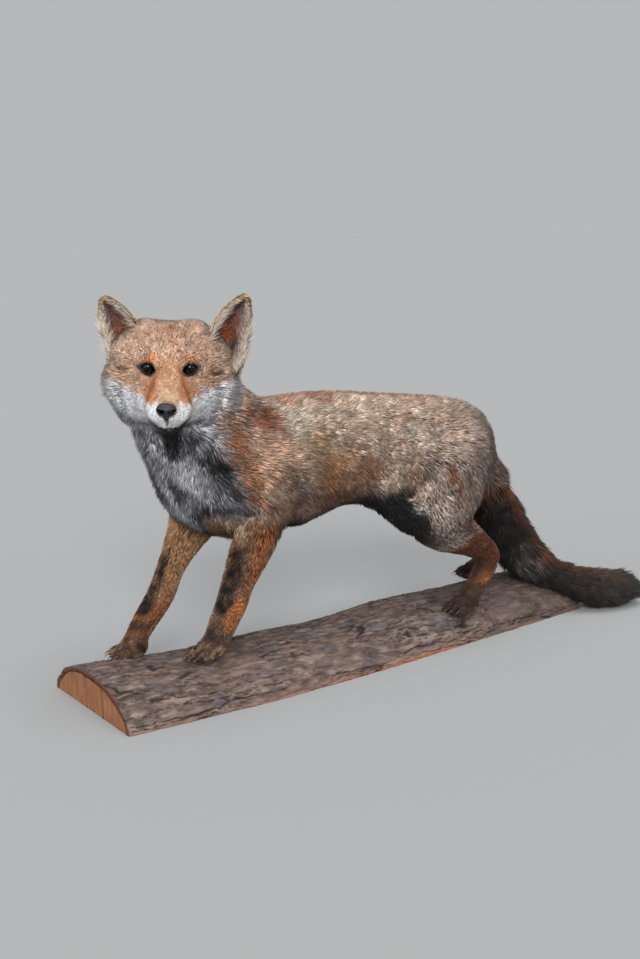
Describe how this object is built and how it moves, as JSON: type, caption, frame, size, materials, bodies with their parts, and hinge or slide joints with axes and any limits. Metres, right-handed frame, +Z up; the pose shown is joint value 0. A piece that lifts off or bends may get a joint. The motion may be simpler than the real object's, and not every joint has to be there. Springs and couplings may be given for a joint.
{
  "type": "taxidermy fox",
  "caption": "Life-size mounted red fox standing on a half-log slab with its bark on, head turned to its left and brush hanging down to the slab.",
  "frame": {"origin": "middle of the slab's flat underside, on the floor", "axes": "+Z up; the fox faces -Y and its tail points to +Y; +X is the fox's left, the side its head is turned to; the slab runs along Y"},
  "size_m": [0.2596, 0.8884, 0.5361],
  "materials": {
    "fur": "dry grizzled fur, rust, buff and grey",
    "nose": "bare, slightly glossy, pebbled",
    "eye": "polished glass eye, amber brown",
    "claw": "dark horn",
    "bark": "rough furrowed bark",
    "wood": "sawn, dry, cracked"
  },
  "bodies": {
    "root": {"log_bark": "bark", "log_wood": "wood", "tail_root": "fur", "tail_middle": "fur", "tail_tip": "fur", "upper_arm_left": "fur", "forearm_left": "fur", "forepaw_left": "fur", "upper_arm_right": "fur", "forearm_right": "fur", "forepaw_right": "fur", "thigh_left": "fur", "hock_left": "fur", "hindpaw_left": "fur", "thigh_right": "fur", "hock_right": "fur", "hindpaw_right": "fur", "chest": "fur", "barrel": "fur", "hindquarters": "fur", "neck": "fur", "lower_jaw": "fur", "muzzle": "fur", "face": "fur", "head": "fur", "ear_left": "fur", "ear_right": "fur", "nose": "nose", "eye_left": "eye", "eye_right": "eye"}
  },
  "joints": []
}
